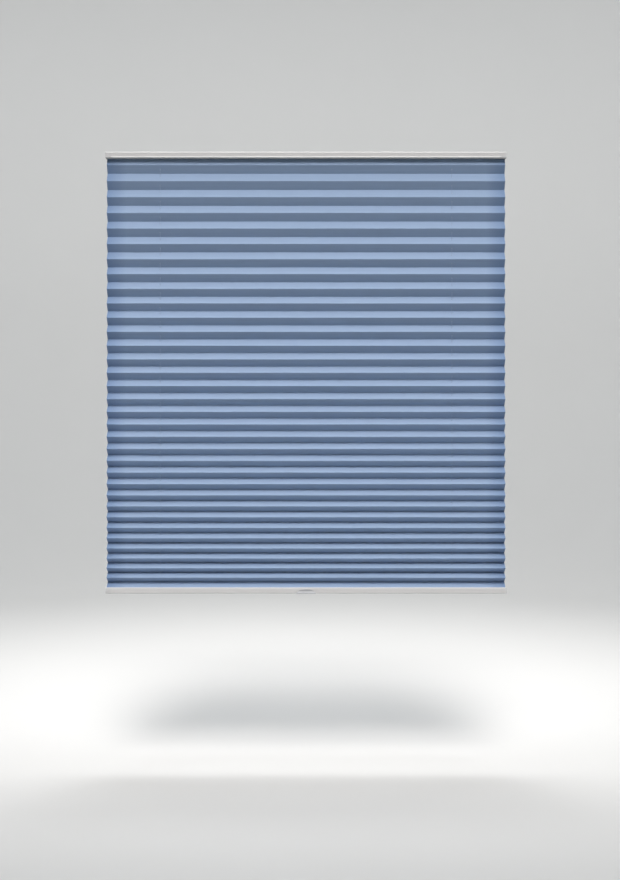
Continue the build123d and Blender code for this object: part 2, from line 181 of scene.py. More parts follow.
class FinishSettings(bpy.types.PropertyGroup):
    """Colours of the hard pieces."""

    coat: colour("Powder coat", "The rails' coat", 0.600, 0.597, 0.600)
    flare: length("Flare", "Height of the head rail's leaning lower edge", 3.6)
    cap: colour("Caps", "The end caps' plastic", 0.590, 0.590, 0.595)
    tab: colour("Tab", "The pull tab's plastic", 0.400, 0.408, 0.430)
    strip: colour("Strips", "The cloth strips' plastic", 0.800, 0.800, 0.780)
    case: colour("Case", "The spring case's plastic", 0.060, 0.064, 0.070)
    wheel: colour("Wheels", "The wheels' acetal", 0.580, 0.565, 0.510)
    guide: colour("Guides", "The guides' and anchors' nylon", 0.640, 0.640, 0.620)
    steel: colour("Steel", "Bright steel", 0.620, 0.625, 0.630)
    zinc: colour("Zinc", "Zinc on the clips", 0.560, 0.575, 0.590)
    spring: colour("Spring", "Blued spring steel", 0.330, 0.350, 0.390)
    weight: colour("Weight", "Rolled steel with its oiled skin", 0.230, 0.230, 0.240)


class StudioSettings(bpy.types.PropertyGroup):
    """The floor, the light and the camera."""

    floor_drop: length("Floor", "From the clips down to the floor", 1330.0)
    floor_radius: length("Floor radius", "From the middle to the studio's round wall", 4300.0)
    cove_radius: length("Cove", "The sweep from floor to wall", 1400.0)
    wall_height: length("Wall", "From the floor to the wall's top", 3900.0)
    paper: colour("Paper", "The studio's floor and wall", 0.680, 0.680, 0.675)
    eye_side: length("Eye to the side", "The camera's place along the rails", 8.6)
    eye_drop: length("Eye below the clips", "The camera's depth below the clips", 620.0)
    eye_away: length("Eye away", "From the rails' front face to the camera", 2600.0)
    view_width: length("View width", "What the frame takes in at the rails", 1333.0)
    lamp_away: length("Lamps away", "From the blind's middle to a front light", 5000.0)
    lamp_width: length("Lamp width", "A front light along the rails", 3000.0)
    lamp_height: length("Lamp height", "A front light from edge to edge", 1600.0)
    lamp_spread: angle("Lamp spread", "How wide a front light's beam opens", 30.0)
    key: power("Key", "The light on the lower folds", 10.8)
    key_rise: angle("Key rise", "How high the key stands, seen from the blind", 42.0)
    key_tone: colour("Key tone", "The colour of the two high front lights", 1.0, 0.965, 0.94)
    crown: power("Crown", "The steeper light on the upper folds", 8.6)
    crown_rise: angle("Crown rise", "How high the crown light stands, seen from the blind", 60.0)
    back: power("Back", "The lights on the wall behind", 150.0)
    front: power("Front", "The lights on the wall in front", 9.0)
    sky: FloatProperty(name="Sky", description="Strength of the light all round", default=0.1)
    sky_tone: colour("Sky tone", "The colour of the sky and the walls' light", 0.76, 0.92, 1.0)


def settings(group):
    """One of the scene's groups of settings."""
    return getattr(bpy.context.scene, group)


# ---- Shader maths -----------------------------------------------------------
class Signal:
    """A value that varies over a surface: sums on it become Math nodes."""

    def __init__(self, finish, socket):
        self.finish = finish
        self.socket = socket

    def math(self, operation, *values):
        """Adds one Math node on these values."""
        return self.finish.node(
            "ShaderNodeMath", {"operation": operation}, dict(enumerate(values))
        )

    def __add__(self, other):
        return self.math("ADD", self, other)

    def __sub__(self, other):
        return self.math("SUBTRACT", self, other)

    def __rsub__(self, other):
        return self.math("SUBTRACT", other, self)

    def __mul__(self, other):
        return self.math("MULTIPLY", self, other)

    def __truediv__(self, other):
        return self.math("DIVIDE", self, other)

    def __abs__(self):
        return self.math("ABSOLUTE", self)

    __radd__ = __add__
    __rmul__ = __mul__

    def sine(self):
        """The sine of a phase in radians."""
        return self.math("SINE", self)

    def part(self):
        """What is left over from whole numbers."""
        return self.math("FRACT", self)

    def root(self):
        """The square root."""
        return self.math("SQRT", self)

    def most(self, other):
        """The larger of two values."""
        return self.math("MAXIMUM", self, other)

    def clip(self):
        """The value held between nothing and one."""
        return self.finish.node("ShaderNodeClamp", {}, {0: self})


class Finish:
    """One procedural material: a Principled surface and the nodes that feed it."""

    def __init__(self, name, **constants):
        self.material = bpy.data.materials.new(name)
        self.material.use_nodes = True
        self.tree = self.material.node_tree
        self.surface = self.tree.nodes["Principled BSDF"]
        for socket, value in constants.items():
            self.surface.inputs[socket.replace("_", " ")].default_value = value

    def node(self, kind, options, inputs, output=0):
        """Adds any node: first its settings, such as a ramp's stops, then its sockets."""
        made = self.tree.nodes.new(kind)
        for name, value in options.items():
            if name == "stops":
                self.stop(made.color_ramp.elements, value)
            else:
                setattr(made, name, value)
        for socket, value in inputs.items():
            self.feed(made.inputs[socket], value)
        return Signal(self, made.outputs[output])

    def stop(self, elements, stops):
        """Sets a ramp's stops from pairs of place and grey level."""
        for element, (place, level) in zip(elements, stops):
            element.position = place
            element.color = (level, level, level, 1.0)

    def feed(self, socket, value):
        """Links a varying value to a socket, or sets a constant there."""
        if isinstance(value, Signal):
            self.tree.links.new(value.socket, socket)
        else:
            socket.default_value = value

    def place(self):
        """The Object coordinate, which is the row frame in metres."""
        return self.node("ShaderNodeTexCoord", {}, {}, "Object")

    def sheet_place(self):
        """The piece's own UV map, in metres."""
        return self.node("ShaderNodeUVMap", {"uv_map": "sheet"}, {})

    def axes(self, vector):
        """A vector's three numbers."""
        split = self.node("ShaderNodeSeparateXYZ", {}, {0: vector})
        outputs = split.socket.node.outputs
        return [Signal(self, socket) for socket in outputs]

    def stretch(self, vector, scale):
        """A coordinate stretched along its axes."""
        return self.node("ShaderNodeMapping", {}, {"Vector": vector, "Scale": scale})

    def noise(self, vector, grain, detail=3.0, rough=0.55):
        """Soft cloudy noise about the level one half, with blotches of the size grain."""
        inputs = {"Vector": vector, "Scale": 1 / grain, "Detail": detail, "Roughness": rough}
        return self.node("ShaderNodeTexNoise", {}, inputs)

    def contrast(self, signal, dark, light):
        """A ramp that is black up to one level and white from another."""
        stops = ((dark, 0.0), (light, 1.0))
        return self.node("ShaderNodeValToRGB", {"stops": stops}, {0: signal})

    def mix(self, weight, first, second):
        """A colour between two colours."""
        inputs = {0: weight, 6: first, 7: second}
        return self.node("ShaderNodeMix", {"data_type": "RGBA"}, inputs, 2)

    def paint(self, base, rough, height, relief):
        """Feeds the surface its colour, its roughness and a relief of that many metres."""
        self.feed(self.surface.inputs["Base Color"], base)
        self.feed(self.surface.inputs["Roughness"], rough)
        inputs = {"Height": height, "Distance": relief, "Strength": 1.0}
        normal = self.node("ShaderNodeBump", {}, inputs)
        self.feed(self.surface.inputs["Normal"], normal)
        return self.material


def tint(base, factor):
    """A linear colour scaled by a factor, with full alpha."""
    return tuple(min(channel * factor, 1.0) for channel in base) + (1.0,)


# ---- Finishes ---------------------------------------------------------------
def pleat_cloth(cloth):
    """Pressed polyester: plain weave, thicker slub threads across, and sharp heat-set folds, with
    painted shade towards the two side edges and a painted sheen with wear along the folds.
    """
    slub_scale, streak_scale = (11.0, 1500.0, 1.0), (3.0, 260.0, 1.0)
    crease_reach, cloth_relief = 0.7 * MM, 0.04 * MM
    finish = Finish("pleat_cloth", Sheen_Weight=0.18, Sheen_Roughness=0.55, Specular_IOR_Level=0.3)
    sheet = finish.sheet_place()
    across, along, _ = finish.axes(sheet)
    turn = math.pi / cloth.thread
    weave = (across * turn).sine() * (along * turn).sine() * 0.5 + 0.5
    slub = finish.noise(finish.stretch(sheet, slub_scale), 1.0, 2.0, 0.5)
    streak = finish.noise(finish.stretch(sheet, streak_scale), 1.0, 2.0, 0.6)
    blotch = finish.noise(sheet, 35 * MM)
    thick = finish.contrast(slub * 0.55 + streak * 0.45, 0.38, 0.66)
    fold = (along - first_fold_at(cloth)) / cloth.face_length
    off_fold = abs((fold + 0.5).part() - 0.5) * (cloth.face_length / crease_reach)
    crease = (1 - off_fold).clip()
    ground = finish.mix(blotch, tint(cloth.dye, 0.965), tint(cloth.dye, 1.02))
    yarn = finish.mix(thick * 0.55, ground, tint(cloth.slub, 1.0))
    # Painted shade: near the two side edges the colour turns to the edge shade colour.
    half = high("pleated_fabric")[0]
    edge = (1 - (half - abs(across - half)) / cloth.edge_width).clip()
    body = finish.mix(edge, yarn, tint(cloth.edge_shade, 1.0))
    # Painted sheen with wear: along the folds the colour is lightened towards the slub colour, partly
    # as wear on the creases and partly as a painted highlight.
    crease_wear_and_sheen = finish.mix(crease * 0.1, body, tint(cloth.slub, 1.1))
    rough = 0.86 - weave * 0.05 - crease * 0.1
    relief = weave * 0.55 + thick * 0.35 + slub * 0.25
    return finish.paint(crease_wear_and_sheen, rough, relief, cloth_relief)


def braided_cord(cord):
    """A fine braid: two families of strands that cross, read from the cord's own UV map, with painted
    shade in the grooves between the strands.
    """
    finish = Finish("braided_cord", Sheen_Weight=0.15, Specular_IOR_Level=0.35)
    around, along, _ = finish.axes(finish.sheet_place())
    strands, braid_relief = 4, 0.06 * MM
    round_it, down_it = around * (strands * math.tau), along * (strands * math.tau / cord.lay)
    left = (round_it + down_it).sine()
    right = (round_it - down_it).sine()
    strand = left.most(right) * 0.5 + 0.5
    fuzz = finish.noise(finish.place(), 1.2 * MM)
    # Painted shade: the cord's colour darkens in the grooves between its strands.
    groove_shade_tone = finish.mix(strand, tint(cord.dye, 0.55), tint(cord.dye, 1.05))
    return finish.paint(groove_shade_tone, 0.78 - strand * 0.12, strand * 0.8 + fuzz * 0.3, braid_relief)


def powder_coat(name, base, flare_level=None):
    """Satin powder coat: a fine orange peel over faint drawing lines, a little uneven in tone.

    Below the flare level, where one is given, the face leans out towards its lower edge.
    """
    finish = Finish(name, Specular_IOR_Level=0.5)
    place = finish.place()
    cloud = finish.noise(place, 90 * MM, 2.0)
    peel = finish.noise(place, 1.6 * MM, 2.0, 0.4)
    drawn = finish.noise(finish.stretch(place, (1.5, 900.0, 900.0)), 1.0, 2.0)
    speck = finish.contrast(finish.noise(place, 0.7 * MM, 1.0), 0.62, 0.72)
    tone = finish.mix(cloud, tint(base, 0.97), tint(base, 1.02))
    tone = finish.mix(speck * 0.06, tone, tint(base, 0.8))
    rough = 0.34 + cloud * 0.08 + peel * 0.05
    relief = peel * 0.8 + drawn * 0.2
    if flare_level is not None:
        below = (flare_level - finish.axes(place)[2]).most(0.0)
        relief = relief + below * (FLARE_SLOPE / COAT_RELIEF)
    return finish.paint(tone, rough, relief, COAT_RELIEF)


def moulded(name, base, gloss, grain, relief):
    """Moulded plastic: an eroded texture, flow clouds and slightly duller patches."""
    finish = Finish(name, Specular_IOR_Level=0.5)
    place = finish.place()
    flow = finish.noise(finish.stretch(place, (1.0, 2.6, 2.6)), 22 * MM)
    spark = finish.noise(place, grain, 4.0, 0.65)
    patch = finish.contrast(finish.noise(place, 8 * MM, 2.0), 0.35, 0.7)
    tone = finish.mix(flow, tint(base, 0.95), tint(base, 1.04))
    tone = finish.mix(patch * 0.12, tone, tint(base, 0.88))
    rough = gloss + spark * 0.1 + patch * 0.05
    return finish.paint(tone, rough, spark, relief)


def drawn_steel(name, base, rough, along):
    """Steel with fine lines along one axis, brighter and duller in turn."""
    finish = Finish(name, Metallic=1.0)
    place = finish.place()
    scale = [1600.0] * 3
    scale["XYZ".index(along)] = 12.0
    line = finish.noise(finish.stretch(place, scale), 1.0, 3.0, 0.6)
    cloud = finish.noise(place, 12 * MM)
    tone = finish.mix(line * 0.6 + cloud * 0.4, tint(base, 0.82), tint(base, 1.1))
    return finish.paint(tone, rough + line * 0.12 + cloud * 0.06, line, 0.01 * MM)


def zinc_plate(name, base):
    """Zinc-plated steel: pale crystals of several tones with soft borders."""
    finish = Finish(name, Metallic=1.0)
    place = finish.place()
    crystal = finish.node("ShaderNodeTexVoronoi", {}, {"Vector": place, "Scale": 700.0}, "Color")
    level = finish.axes(crystal)[0]
    scratch = finish.noise(finish.stretch(place, (60.0, 2500.0, 2500.0)), 1.0, 2.0)
    tone = finish.mix(level * 0.7 + scratch * 0.3, tint(base, 0.85), tint(base, 1.12))
    return finish.paint(tone, 0.3 + level * 0.14 + scratch * 0.06, scratch, 0.01 * MM)


def coiled_steel(name, base, axis_x):
    """Blued spring steel, with the edges of its turns as rings round each drum."""
    finish = Finish(name, Metallic=1.0)
    x, y, _ = finish.axes(finish.place())
    turn_gap = 0.3 * MM
    aside = abs(x) - axis_x
    radius = (aside * aside + y * y).root()
    ring = (radius * (math.tau / turn_gap)).sine() * 0.5 + 0.5
    cloud = finish.noise(finish.place(), 4 * MM)
    tone = finish.mix(ring * 0.7 + cloud * 0.3, tint(base, 0.6), tint(base, 1.2))
    return finish.paint(tone, 0.28 + ring * 0.1 + cloud * 0.08, ring, 0.04 * MM)


def rolled_steel(name, base):
    """Rolled bar: a dark oiled skin with paler rubbed patches and rolling lines."""
    finish = Finish(name, Metallic=0.85)
    place = finish.place()
    line = finish.noise(finish.stretch(place, (5.0, 700.0, 700.0)), 1.0, 3.0)
    patch = finish.contrast(finish.noise(place, 20 * MM, 4.0), 0.45, 0.65)
    tone = finish.mix(line, tint(base, 0.7), tint(base, 1.2))
    tone = finish.mix(patch * 0.35, tone, tint(base, 1.9))
    rough = 0.5 + line * 0.15 - patch * 0.1
    return finish.paint(tone, rough, line * 0.7 + patch * 0.3, 0.03 * MM)


def studio_paper(base):
    """Matt seamless paper with a faint pulp grain."""
    finish = Finish("studio_paper", Specular_IOR_Level=0.1)
    place = finish.place()
    pulp = finish.noise(place, 400 * MM, 2.0)
    fibre = finish.noise(place, 6 * MM, 2.0)
    tone = finish.mix(pulp, tint(base, 0.99), tint(base, 1.01))
    return finish.paint(tone, 0.9 + fibre * 0.05, fibre, 0.1 * MM)


def dress(nodes, material):
    """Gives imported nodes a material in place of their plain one."""
    for node in nodes:
        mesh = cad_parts[node].data
        mesh.materials.clear()
        mesh.materials.append(material)


# ---- Surfaces ---------------------------------------------------------------
def surface(name, points, sheet, keep=None, round_it=False):
    """A skin over a grid of points, rows by columns: each cell is a quad of four neighbours.

    The sheet array gives every grid corner its UV place. Where round_it is set the last
    column joins the first, and sheet has one column more than points. Cells that keep
    leaves out are open.
    """
    rows, columns = points.shape[:2]
    numbers = np.arange(rows * columns).reshape(rows, columns)
    if round_it:
        numbers = np.hstack((numbers, numbers[:, :1]))
    corners = np.arange(sheet.shape[0] * sheet.shape[1]).reshape(sheet.shape[:2])
    keep = np.ones((rows - 1, numbers.shape[1] - 1), bool) if keep is None else keep
    quads = cells(numbers)[keep]
    places = sheet.reshape(-1, 2)[cells(corners)[keep]]
    used, quads = np.unique(quads, return_inverse=True)
    quads = quads.reshape(-1, 4)
    mesh = bpy.data.meshes.new(name)
    mesh.from_pydata(points.reshape(-1, 3)[used], [], quads)
    mesh.polygons.foreach_set("use_smooth", np.ones(len(quads), bool))
    layer = mesh.uv_layers.new(name="sheet")
    layer.data.foreach_set("uv", places.astype(np.float32).ravel())
    mesh.update()
    edge_of_corner = np.zeros(len(mesh.loops), np.int32)
    mesh.loops.foreach_get("edge_index", edge_of_corner)
    cut = np.bincount(edge_of_corner, minlength=len(mesh.edges)) == 1
    mesh.attributes.new("sharp_edge", "BOOLEAN", "EDGE").data.foreach_set("value", cut)
    piece = bpy.data.objects.new(name, mesh)
    bpy.context.scene.collection.objects.link(piece)
    return piece


def cells(numbers):
    """The four corner numbers of every cell of a grid, in turn."""
    corners = (numbers[:-1, :-1], numbers[1:, :-1], numbers[1:, 1:], numbers[:-1, 1:])
    return np.stack(corners, axis=-1)


def stretch_evenly(piece):
    """Bakes a piece's placing into its points and reads the points into an array, which is not used.
    """
    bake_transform(piece)
    co = np.zeros(len(piece.data.vertices) * 3, np.float32)
    piece.data.vertices.foreach_get("co", co)


# ---- The folded cloth -------------------------------------------------------
def fold_line(cloth):
    """The cloth's middle line as an array of Y and Z, one row for each fold.

    Every face is as long as the next. Face number n drops by the top drop less n steps,
    and goes back or forward by what is left of its length, so its depth is the root of
    the length squared less the drop squared. A level leaf lies in each rail.
    """
    head_face = low("head_rail")[2]
    drops = cloth.top_drop - cloth.drop_step * np.arange(cloth.face_count)
    depths = np.sqrt(cloth.face_length**2 - drops**2)
    turns = np.where(np.arange(cloth.face_count) % 2 == 0, 1.0, -1.0)
    first_z = head_face - cloth.first_drop
    first_y = -depths[0] / 2
    y = first_y + np.concatenate(([0.0], np.cumsum(turns * depths)))
    z = first_z - np.concatenate(([0.0], np.cumsum(drops)))
    top_leaf = head_face + cloth.leaf_level
    leaf_start = first_y + (top_leaf - first_z) * depths[0] / drops[0]
    bottom_leaf = z[-1] - cloth.last_drop
    top = [(cloth.leaf_back, top_leaf), (leaf_start, top_leaf)]
    bottom = [(-cloth.leaf_front, bottom_leaf), (cloth.leaf_back, bottom_leaf)]
    return np.vstack((top, np.column_stack((y, z)), bottom))


def first_fold_at(cloth):
    """How far along the sheet the first front fold lies."""
    folds = fold_line(cloth)[:3]
    return float(np.linalg.norm(np.diff(folds, axis=0), axis=1).sum())


def face_rows(cloth, starts, ends):
    """Rows on each straight face, as shares of its way from start to end.

    Two rows hold the crease's curve to the fold, and four lie about the place where the
    cord passes, at Y zero, where a hole's edge needs them. The leaf that no cord passes
    has its four rows spread evenly.
    """
    hold_reach = 0.6 * MM
    run = ends - starts
    reach = np.linalg.norm(run, axis=1)
    crossing = -starts[:, 0] / run[:, 0]
    passed = (crossing > 0.1) & (crossing < 0.9)
    spread = cloth.hole_radius / np.abs(run[:, 0])
    around = crossing[:, None] + spread[:, None] * HOLE_RING
    evenly = np.tile([0.3, 0.45, 0.6, 0.75], (len(starts), 1))
    middle = np.where(passed[:, None], around, evenly)
    hold = np.minimum(hold_reach / reach, 0.1)[:, None]
    return np.hstack((hold, middle, 1 - hold)), passed


def cloth_profile(cloth):
    """Points down the sheet in Y and Z, their place between folds, and the holed rows.

    At each fold the corner P is rounded between the points A and B, which lie a reach
    before and after it, by the curve (1-s)(1-s) A + 2 s (1-s) P + s s B.
    """
    folds = fold_line(cloth)
    run = np.diff(folds, axis=0)
    heading = run / np.linalg.norm(run, axis=1)[:, None]
    trim = np.full(len(folds), cloth.fold_reach)
    trim[[0, -1]] = 0.0
    starts = folds[:-1] + heading * trim[:-1, None]
    ends = folds[1:] - heading * trim[1:, None]
    shares, passed = face_rows(cloth, starts, ends)
    flat = starts[:, None] + shares[..., None] * (ends - starts)[:, None]
    s = np.linspace(0, 1, CREASE_POINTS)[None, :, None]
    before, corner, after = (side[:, None] for side in (ends[:-1], folds[1:-1], starts[1:]))
    curve = (1 - s) ** 2 * before + 2 * s * (1 - s) * corner + s**2 * after
    whole = np.hstack((flat[:-1], curve)).reshape(-1, 2)
    points = np.vstack((folds[:1], whole, flat[-1], folds[-1:]))
    number = np.arange(len(starts))[:, None]
    inner = number + shares
    turn = number[:-1] + 1 + np.linspace(-CREASE_SHARE, CREASE_SHARE, CREASE_POINTS)
    between = np.concatenate(
        ([0.0], np.hstack((inner[:-1], turn)).ravel(), inner[-1], [float(len(starts))])
    )
    per_face = shares.shape[1] + CREASE_POINTS
    before_hole = 2
    holed = before_hole + per_face * np.arange(len(starts))
    return points, between, holed[passed]


def cloth_columns(cloth, half, cord_x):
    """Places along X: 15 to 18 mm apart, with four columns about each cord."""
    inner_count, outer_count, clear = 36, 8, 6 * MM
    about = cloth.hole_radius * HOLE_RING
    inner = np.linspace(-cord_x + clear, cord_x - clear, inner_count)
    outer = np.linspace(cord_x + clear, half, outer_count)
    columns = np.concatenate((-outer[::-1], about - cord_x, inner, cord_x + about, outer))
    holed = [len(outer), len(outer) + len(about) + len(inner)]
    return columns, holed


def round_holes(points, rows, columns, radius, cord_x):
    """Pulls the ring of twelve grid points about each crossing onto the cord hole's circle.

    Seen from above, a corner of the ring goes to 45 degrees on the circle, and the two
    points between corners to an eighth of pi either side of an axis. A point keeps to its
    face, so its place along the face's slope changes with its Y.
    """
    diagonal = math.sqrt(0.5)
    near, far = math.sin(math.pi / 8), math.cos(math.pi / 8)
    along = np.array(
        [
            [-diagonal, -far, -far, -diagonal],
            [-near, 0, 0, -near],
            [near, 0, 0, near],
            [diagonal, far, far, diagonal],
        ]
    )
    aside = along.T
    for row in rows:
        for column, side in zip(columns, (-1, 1)):
            block = points[row : row + 4, column : column + 4]
            slope = (block[3, :, 1:] - block[0, :, 1:]) / 2
            middle = (block[3, :, 1:] + block[0, :, 1:]) / 2
            block[..., 0] = side * cord_x + radius * aside
            block[..., 1:] = middle[None] + slope[None] * along[..., None]
    keep = np.ones((points.shape[0] - 1, points.shape[1] - 1), bool)
    for row in rows:
        for column in columns:
            keep[row : row + 3, column : column + 3] = False
    return keep


def wander(cloth, between, columns):
    """How far each grid point strays from straight, in Y and Z.

    Each fold has its own sum of three long sines along X. A point between two folds takes
    its share of each, so a face stays nearly flat.
    """
    chance = np.random.default_rng(cloth.seed)
    count = int(between[-1]) + 1
    wave_lengths = np.array([0.83, 0.37, 0.19])[None, None, :, None]
    weights = np.array([1.0, 0.5, 0.25])[None, None, :, None]
    phases = chance.uniform(0, math.tau, (2, count, 3, 1))
    turns = math.tau / wave_lengths * columns[None, None, None, :]
    stray = (weights * np.sin(turns + phases)).sum(axis=2) * cloth.wave
    stray[:, [0, 1, -2, -1]] = 0.0
    lower = np.minimum(between.astype(int), count - 2)
    part = (between - lower)[None, :, None]
    return stray[:, lower] * (1 - part) + stray[:, lower + 1] * part


def fold_cloth(cloth):
    """One pleated sheet: the fold profile carried along X, with cord holes and live thickness."""
    half = high("pleated_fabric")[0]
    cord_x = high("lift_cord_right")[0] - settings("blind_cord").diameter / 2
    profile, between, holed_rows = cloth_profile(cloth)
    columns, holed_columns = cloth_columns(cloth, half, cord_x)
    y, z = profile.T[:, :, None] + wander(cloth, between, columns)
    points = np.stack(np.broadcast_arrays(columns[None, :], y, z), axis=-1).copy()
    step = np.linalg.norm(np.diff(profile, axis=0), axis=1)
    along = np.concatenate(([0.0], np.cumsum(step)))
    keep = round_holes(points, holed_rows, holed_columns, cloth.hole_radius, cord_x)
    sheet = np.stack(np.broadcast_arrays(points[..., 0] + half, along[:, None]), axis=-1)
    piece = surface("pleated_cloth", points, sheet, keep)
    thicken = piece.modifiers.new("Thickness", "SOLIDIFY")
    thicken.thickness = cloth.thickness
    thicken.offset = 0.0
    return piece, (2 * half, float(along[-1]))


class BLIND_OT_cloth(bpy.types.Operator):
    """Fold the cloth into pleats and hang it between the rails"""

    bl_idname = "blind.cloth"
    bl_label = "Pleated cloth"

    def execute(self, context):
        cloth = settings("blind_cloth")
        piece, flat = fold_cloth(cloth)
        piece.data.materials.append(pleat_cloth(cloth))
        stretch_evenly(piece)
        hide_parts("pleated_fabric")
        return {"FINISHED"}


# ---- Cords ------------------------------------------------------------------
def tube(name, path, radius, sides=12):
    """A round tube: a circle carried along a path, square to the path at every point.

    The circle's two axes are the path's sideways direction, which is its heading crossed
    with a slanting reference, and that direction crossed with the heading.
    """
    heading = np.gradient(path, axis=0)
    heading /= np.linalg.norm(heading, axis=1)[:, None]
    reference = np.array([0.31, 0.93, -0.2])
    aside = np.cross(heading, reference)
    aside /= np.linalg.norm(aside, axis=1)[:, None]
    upward = np.cross(aside, heading)
    turn = np.linspace(0, math.tau, sides, endpoint=False)[None, :, None]
    ring = np.cos(turn) * aside[:, None] + np.sin(turn) * upward[:, None]
    body = path[:, None] + radius * ring
    ends = np.repeat(path[[0, -1], None], sides, axis=1)
    points = np.concatenate((ends[:1], body, ends[1:]))
    step = np.linalg.norm(np.diff(path, axis=0), axis=1)
    along = np.concatenate(([0.0, 0.0], np.cumsum(step), [step.sum()]))
    around = np.linspace(0, 1, sides + 1)
    sheet = np.stack(np.broadcast_arrays(around[None, :], along[:, None]), axis=-1)
    piece = surface(name, points, sheet, round_it=True)
    join_doubles(piece)
    return piece


def join_doubles(piece):
    """Makes one corner of a ring whose corners all lie in one place, as at a pole."""
    shell = bmesh.new()
    shell.from_mesh(piece.data)
    bmesh.ops.remove_doubles(shell, verts=shell.verts, dist=1e-7)
    bmesh.ops.recalc_face_normals(shell, faces=shell.faces)
    shell.to_mesh(piece.data)
    shell.free()


def cord_path(cord, side_name):
    """A lift cord's middle line: along the rail, a quarter turn over the pin, and down.

    The quarter turn is the bend's centre plus the bend radius times the sine along the
    cord's heading and the cosine upwards.
    """
    run_points, turn_points, hanging_points = 30, 9, 90
    side = SIDES[side_name]
    lowest, highest = low(f"lift_cord_{side_name}"), high(f"lift_cord_{side_name}")
    radius = cord.diameter / 2
    level = highest[2] - radius
    cord_x = max(abs(lowest[0]), abs(highest[0])) - radius
    start = np.array([side * min(abs(lowest[0]), abs(highest[0])), lowest[1] + radius, level])
    corner = np.array([side * cord_x, 0.0, level])
    heading = (corner - start) / np.linalg.norm(corner - start)
    upward = np.array([0.0, 0.0, 1.0])
    part_turned = np.linspace(0, math.pi / 2, turn_points)[:, None]
    centre = corner - cord.bend * (heading + upward)
    turn = centre + cord.bend * (np.sin(part_turned) * heading + np.cos(part_turned) * upward)
    level_run = start + np.linspace(0, 1, run_points, endpoint=False)[:, None] * (turn[0] - start)
    end = np.array([corner[0], 0.0, lowest[2]])
    hanging = turn[-1] + np.linspace(0, 1, hanging_points)[1:, None] * (end - turn[-1])
    return np.vstack((level_run, turn, hanging))


def winding_path(cord, side_name):
    """The cord wound on a spool: a helix that rises through one layer and back down a second.

    With t turns done the point stands at the angle two pi t, at the layer's radius, and at
    a height that goes up and down between the flanges as a triangle wave.
    """
    turn_points, layer_gap = 40, 0.65
    node = f"cord_winding_{side_name}"
    lowest, highest = low(node), high(node)
    centre = (lowest + highest) / 2
    outer = (highest[0] - lowest[0]) / 2
    radius = cord.diameter / 2
    room = highest[2] - lowest[2] - 2 * radius
    turn = np.linspace(0, cord.turns, int(cord.turns * turn_points) + 1)
    share_up = turn / (cord.turns / 2)
    height = 1 - np.abs(1 - share_up)
    layer = np.clip((share_up - 0.95) / 0.1, 0, 1)
    reach = outer - radius - (1 - layer) * layer_gap * cord.diameter
    heading = math.tau * turn * -SIDES[side_name]
    return np.stack(
        (
            centre[0] + reach * np.cos(heading),
            centre[1] + reach * np.sin(heading),
            lowest[2] + radius + room * height,
        ),
        axis=-1,
    )


class BLIND_OT_cords(bpy.types.Operator):
    """Run the two lift cords and wind their spare turns on the spools"""

    bl_idname = "blind.cords"
    bl_label = "Lift cords"

    def execute(self, context):
        cord = settings("blind_cord")
        braid = braided_cord(cord)
        for side_name in SIDES:
            hung = tube(f"braided_cord_{side_name}", cord_path(cord, side_name), cord.diameter / 2)
            stretch_evenly(hung)
            wound = tube(f"wound_cord_{side_name}", winding_path(cord, side_name), cord.diameter / 2, 8)
            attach(wound, f"{side_name}_spool")
            for piece, node in ((hung, f"lift_cord_{side_name}"), (wound, f"cord_winding_{side_name}")):
                piece.data.materials.append(braid)
                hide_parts(node)
        return {"FINISHED"}


# ---- Hard pieces ------------------------------------------------------------
def both(kind):
    """The names of a left and right pair of nodes."""
    return [f"{kind}_{side_name}" for side_name in SIDES]


class BLIND_OT_rails(bpy.types.Operator):
    """Coat the head rail and the bottom rail"""

    bl_idname = "blind.rails"
    bl_label = "Rails"

    def execute(self, context):
        coat = settings("blind_finish").coat
        flare_level = low("head_rail")[2] + settings("blind_finish").flare
        dress(["head_rail"], powder_coat("head_coat", coat, flare_level))
        dress(["bottom_rail"], powder_coat("bottom_coat", coat))
        return {"FINISHED"}


class BLIND_OT_caps(bpy.types.Operator):
    """Finish the four end caps and the pull tab"""

    bl_idname = "blind.caps"
    bl_label = "Caps and pull tab"

    def execute(self, context):
        finish = settings("blind_finish")
        caps = both("head_cap") + both("bottom_cap")
        dress(caps, moulded("cap_plastic", finish.cap, 0.36, 0.6 * MM, 0.02 * MM))
        dress(["pull_tab"], moulded("tab_plastic", finish.tab, 0.42, 0.5 * MM, 0.03 * MM))
        return {"FINISHED"}


class BLIND_OT_fittings(bpy.types.Operator):
    """Finish the clips, the cloth strips, the guides, the anchors and the weight"""

    bl_idname = "blind.fittings"
    bl_label = "Fittings"

    def execute(self, context):
        finish = settings("blind_finish")
        dress(both("mounting_clip"), zinc_plate("clip_zinc", finish.zinc))
        strips = ["upper_fabric_strip", "lower_fabric_strip"]
        dress(strips, moulded("strip_plastic", finish.strip, 0.5, 0.9 * MM, 0.03 * MM))
        guides = both("guide_block") + both("cord_anchor")
        dress(guides, moulded("guide_nylon", finish.guide, 0.4, 0.8 * MM, 0.02 * MM))
        dress(both("guide_pin"), drawn_steel("pin_steel", finish.steel, 0.14, "Y"))
        dress(["weight_bar"], rolled_steel("weight_steel", finish.weight))
        return {"FINISHED"}


